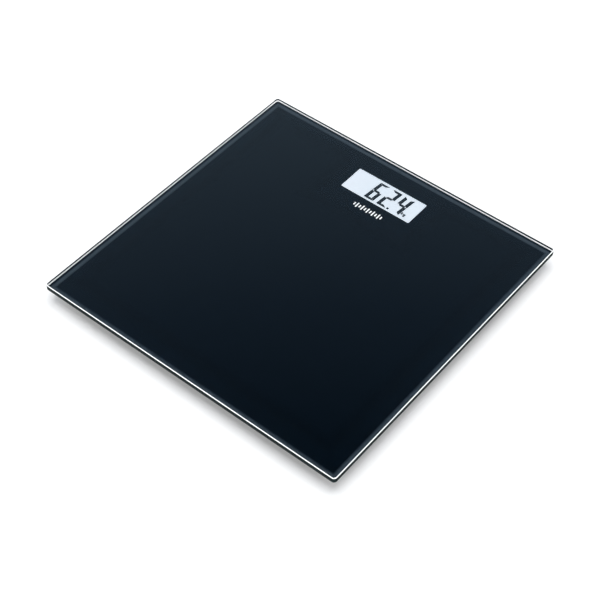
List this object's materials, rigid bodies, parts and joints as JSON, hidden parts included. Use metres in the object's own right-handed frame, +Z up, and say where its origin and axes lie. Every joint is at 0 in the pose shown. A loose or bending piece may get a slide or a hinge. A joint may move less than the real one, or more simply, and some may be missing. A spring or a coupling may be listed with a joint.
{
  "type": "digital bathroom scale",
  "caption": "Square glass-platform bathroom scale with a liquid-crystal window, corner load-cell feet and a battery display unit underneath.",
  "frame": {"origin": "on the floor under the middle of the platform", "axes": "+X left to right, +Y from the front edge to the display's edge, +Z up"},
  "size_m": [0.3, 0.295, 0.02],
  "materials": {
    "glass": "polished",
    "border_print": "fired ceramic print",
    "backing_print": "fired ceramic print",
    "mark_print": "fired ceramic print",
    "tape": "foam tape",
    "housing_plastic": "fine spark texture",
    "polarizer": "clear film",
    "lcd_glass": "clear",
    "lcd_ink": "printed",
    "reflector": "satin film",
    "zebra_rubber": "matt",
    "pcb": "solder mask",
    "zinc_steel": "zinc plated",
    "potting": "epoxy",
    "tinned_metal": "tinned",
    "ceramic_tan": "ceramic",
    "ceramic_black": "ceramic",
    "switch_black": "moulded",
    "switch_ivory": "moulded",
    "button_grey": "moulded",
    "door_plastic": "fine spark texture",
    "cell_steel": "nickel plated",
    "contact_metal": "nickel plated",
    "gauge_silicone": "silicone",
    "duct_plastic": "moulded",
    "shell_plastic": "fine spark texture",
    "cell_plate_steel": "stamped",
    "cap_plastic": "moulded",
    "pad_rubber": "moulded",
    "wire_red": "insulation"
  },
  "bodies": {
    "platform": {"backing_print": "backing_print", "battery_clip_positive": "contact_metal", "battery_spring_negative": "contact_metal", "border_print": "border_print", "cell_screws": "zinc_steel", "chip_blob": "potting", "coin_cell": "cell_steel", "cover_screws": "zinc_steel", "crystal": "tinned_metal", "display_frame": "housing_plastic", "foot_shell_fl": "shell_plastic", "foot_shell_fr": "shell_plastic", "foot_shell_rl": "shell_plastic", "foot_shell_rr": "shell_plastic", "foot_tapes": "tape", "frame_tape": "tape", "glass_plate": "glass", "housing_cover": "housing_plastic", "lcd_front_glass": "lcd_glass", "lcd_front_polarizer": "polarizer", "lcd_rear_glass": "lcd_glass", "lcd_reflector": "reflector", "lcd_segments": "lcd_ink", "load_cell_fl": "cell_plate_steel", "load_cell_fr": "cell_plate_steel", "load_cell_rl": "cell_plate_steel", "load_cell_rr": "cell_plate_steel", "pcb": "pcb", "pcb_screws": "zinc_steel", "print_mark": "mark_print", "smd_capacitors": "ceramic_tan", "smd_resistors": "ceramic_black", "solder_joints": "tinned_metal", "strain_gauges": "gauge_silicone", "switch_body": "switch_black", "wire_ducts": "duct_plastic", "wires_fl": "wire_red", "wires_fr": "wire_red", "wires_rl": "wire_red", "wires_rr": "wire_red", "zebra_strips": "zebra_rubber"},
    "foot_fl": {"foot_cap_fl": "cap_plastic", "foot_screw_fl": "zinc_steel", "foot_pad_fl": "pad_rubber"},
    "foot_fr": {"foot_cap_fr": "cap_plastic", "foot_screw_fr": "zinc_steel", "foot_pad_fr": "pad_rubber"},
    "foot_rl": {"foot_cap_rl": "cap_plastic", "foot_screw_rl": "zinc_steel", "foot_pad_rl": "pad_rubber"},
    "foot_rr": {"foot_cap_rr": "cap_plastic", "foot_screw_rr": "zinc_steel", "foot_pad_rr": "pad_rubber"},
    "door": {"battery_door": "door_plastic"},
    "button": {"unit_button": "button_grey", "switch_plunger": "switch_ivory"}
  },
  "joints": [
    {"name": "foot_press_fl", "type": "slide", "parent": "platform", "child": "foot_fl", "axis": [0, 0, 1], "range_m": [0, 0.0005], "stiffness_N_per_m": 1500, "springref_m": -0.0035, "deforming": ["load_cell_fl"]},
    {"name": "foot_press_fr", "type": "slide", "parent": "platform", "child": "foot_fr", "axis": [0, 0, 1], "range_m": [0, 0.0005], "stiffness_N_per_m": 1500, "springref_m": -0.0035, "deforming": ["load_cell_fr"]},
    {"name": "foot_press_rl", "type": "slide", "parent": "platform", "child": "foot_rl", "axis": [0, 0, 1], "range_m": [0, 0.0005], "stiffness_N_per_m": 1500, "springref_m": -0.0035, "deforming": ["load_cell_rl"]},
    {"name": "foot_press_rr", "type": "slide", "parent": "platform", "child": "foot_rr", "axis": [0, 0, 1], "range_m": [0, 0.0005], "stiffness_N_per_m": 1500, "springref_m": -0.0035, "deforming": ["load_cell_rr"]},
    {"name": "battery_door_hinge", "type": "hinge", "parent": "platform", "child": "door", "pos_m": [-0.028, 0.0875, 0.0057], "axis": [1, 0, 0], "range_deg": [0, 95]},
    {"name": "unit_button_press", "type": "slide", "parent": "platform", "child": "button", "axis": [0, 0, 1], "range_m": [0, 0.0004], "stiffness_N_per_m": 60, "springref_m": -0.002}
  ]
}
